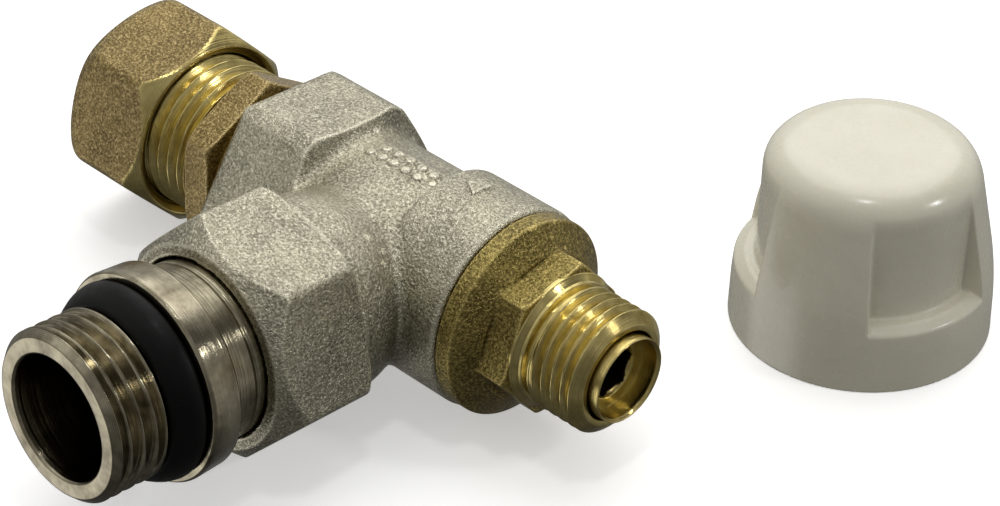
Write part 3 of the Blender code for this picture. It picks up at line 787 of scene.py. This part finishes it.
def cap_hollow(r, z):
    """Open mouth, threaded sleeve's bore and the ring of space round the sleeve."""
    roof = z - CAP_H + CAP_ROOF
    ring = np.maximum(np.maximum(r - CAP_CORE_R, CAP_SLEEVE_R - r), roof)
    bore = np.maximum(r - CAP_SLEEVE_BORE_R, roof)
    mouth = np.maximum(np.maximum(r - CAP_INSIDE_R, z - CAP_INSIDE_END), CAP_SLEEVE_R - r)
    throat = np.maximum(r - CAP_INSIDE_R, z - CAP_SLEEVE_FOOT)
    return np.minimum(np.minimum(mouth, ring), np.minimum(bore, throat))


def cap_field(x, y, z):
    r = np.sqrt(x * x + y * y)
    solid = cap_outside(r, z)
    angle = np.degrees(np.arctan2(y, x))
    inner = r - CAP_GRIP_R + 0.012 * (z - CAP_LEDGE)
    middle = CAP_GRIP_MIDDLE + 0.1 * np.clip(21.5 - z, 0.0, 12.5)
    shelf = CAP_LEDGE - 0.9 * ramp(14.3, 16.6, r)
    for k in range(3):
        away = (angle - middle - 120 * k + 180) % 360 - 180
        wedge = (np.abs(away) - CAP_GRIP_HALF) * math.pi / 180 * r
        recess = smooth_max(smooth_max(wedge, shelf - z, 0.3), -inner, 0.5)
        solid = smooth_max(solid, -recess, 0.35)
    return np.maximum(solid, -cap_hollow(r, z))


cap = skin("cap_moulding", cap_field, (-17, -17, -0.6), (17, 17, 26.0), 0.27, ALONG_CAP)
dress(cap, IVORY, "cap", "lockshield_cap")


# ---- floor, light and camera ---------------------------------------------------------------------
FLOOR_HALF_M, FLOOR_GLOW = 6, 0.42
LIGHT_AIM = Vector((0, 0, 0.01))


def floor():
    mesh = bpy.data.meshes.new("floor")
    corners = [(FLOOR_HALF_M * x, FLOOR_HALF_M * y, 0) for x, y in ((-1, -1), (1, -1), (1, 1), (-1, 1))]
    mesh.from_pydata(corners, [], [(0, 1, 2, 3)])
    made = bpy.data.objects.new("floor", mesh)
    bpy.context.scene.collection.objects.link(made)
    paper = Surface("paper", 0.0, 0.9)
    paper.colour(paper.mix(paper.noise(0.01, 2), (0.91, 0.91, 0.905), (0.94, 0.94, 0.935)))
    paper.shader.inputs["Emission Color"].default_value = (1.0, 1.0, 1.0, 1.0)
    paper.shader.inputs["Emission Strength"].default_value = FLOOR_GLOW
    mesh.materials.append(paper.material)
    made.visible_diffuse = made.visible_glossy = False


def softbox(name, at, side, watts):
    """Square area light, its place and side in metres, aimed at the valve."""
    light = bpy.data.lights.new(name, "AREA")
    light.shape = "RECTANGLE"
    light.size = light.size_y = side
    light.energy = watts
    made = bpy.data.objects.new(name, light)
    made.location = at
    made.rotation_euler = (LIGHT_AIM - Vector(at)).to_track_quat("-Z", "Y").to_euler()
    bpy.context.scene.collection.objects.link(made)


floor()
softbox("key_box", (-0.20, 0.30, 0.50), 0.6, 1.6)
softbox("top_box", (0.08, -0.05, 0.60), 0.07, 0.30)
softbox("right_box", (0.45, 0.25, 0.35), 0.07, 0.40)

SKY_LOW, SKY_HIGH, SKY_TINT = 0.20, 0.50, (1.0, 0.99, 0.96, 1.0)
# Patches of the studio round the valve: direction, cosine where it begins, cosine where it is full, level.
SKY_PATCHES = (
    ((-0.50, 0.62, 0.60), 0.35, 0.90, 0.72),
    ((0.66, 0.58, 0.48), 0.80, 0.96, 0.12),
    ((0.85, 0.52, 0.00), 0.75, 0.95, 0.50),
    ((0.57, -0.58, 0.58), 0.55, 0.93, 0.36),
    ((-0.50, -0.50, 0.70), 0.78, 0.96, 0.85),
    ((-0.60, -0.66, -0.45), 0.86, 0.97, 1.45),
    ((0.80, -0.45, -0.40), 0.50, 0.90, 0.16),
    ((0.0, 0.0, -1.0), 0.60, 0.95, 0.08),
)


def sky():
    world = bpy.data.worlds.new("studio")
    world.use_nodes = True
    nodes = Nodes(world.node_tree)
    place = nodes.node("ShaderNodeTexCoord")

    def facing(towards, *ends):
        dot = nodes.node("ShaderNodeVectorMath", operation="DOT_PRODUCT")
        nodes.link(place.outputs["Generated"], dot.inputs[0])
        dot.inputs[1].default_value = Vector(towards).normalized()
        return nodes.spread(dot.outputs["Value"], *ends, curve="SMOOTHSTEP")

    level = facing((0, 0, 1), -0.5, 0.8, SKY_LOW, SKY_HIGH)
    for towards, begins, full, value in SKY_PATCHES:
        blend = nodes.node("ShaderNodeMix", data_type="FLOAT")
        nodes.link(facing(towards, begins, full), blend.inputs["Factor"])
        nodes.link(level, blend.inputs["A"])
        blend.inputs["B"].default_value = value
        level = blend.outputs["Result"]
    background = world.node_tree.nodes["Background"]
    nodes.link(level, background.inputs["Strength"])
    background.inputs["Color"].default_value = SKY_TINT
    bpy.context.scene.world = world


sky()
bpy.context.scene.view_settings.view_transform = "Standard"

CAMERA_AZIMUTH, CAMERA_ELEVATION, CAMERA_ROLL = 44.16, 35.41, 0.48
CAMERA_DISTANCE, CAMERA_LENS = 0.3496, 107.0
CAMERA_AIM = Vector((0.01473, 0.00106, 0.00607))


def make_camera():
    azimuth, elevation, roll = (math.radians(v) for v in (CAMERA_AZIMUTH, CAMERA_ELEVATION, CAMERA_ROLL))
    back = Vector((math.sin(azimuth) * math.cos(elevation), -math.cos(azimuth) * math.cos(elevation),
                   math.sin(elevation)))
    right = Vector((0, 0, 1)).cross(back).normalized()
    up = back.cross(right)
    right, up = right * math.cos(roll) + up * math.sin(roll), up * math.cos(roll) - right * math.sin(roll)
    data = bpy.data.cameras.new("camera")
    data.lens, data.sensor_width = CAMERA_LENS, 36.0
    made = bpy.data.objects.new("camera", data)
    made.matrix_world = Matrix.Translation(CROSSING + CAMERA_AIM + back * CAMERA_DISTANCE) @ Matrix(
        (right, up, back)).transposed().to_4x4()
    bpy.context.scene.collection.objects.link(made)
    bpy.context.scene.camera = made


make_camera()
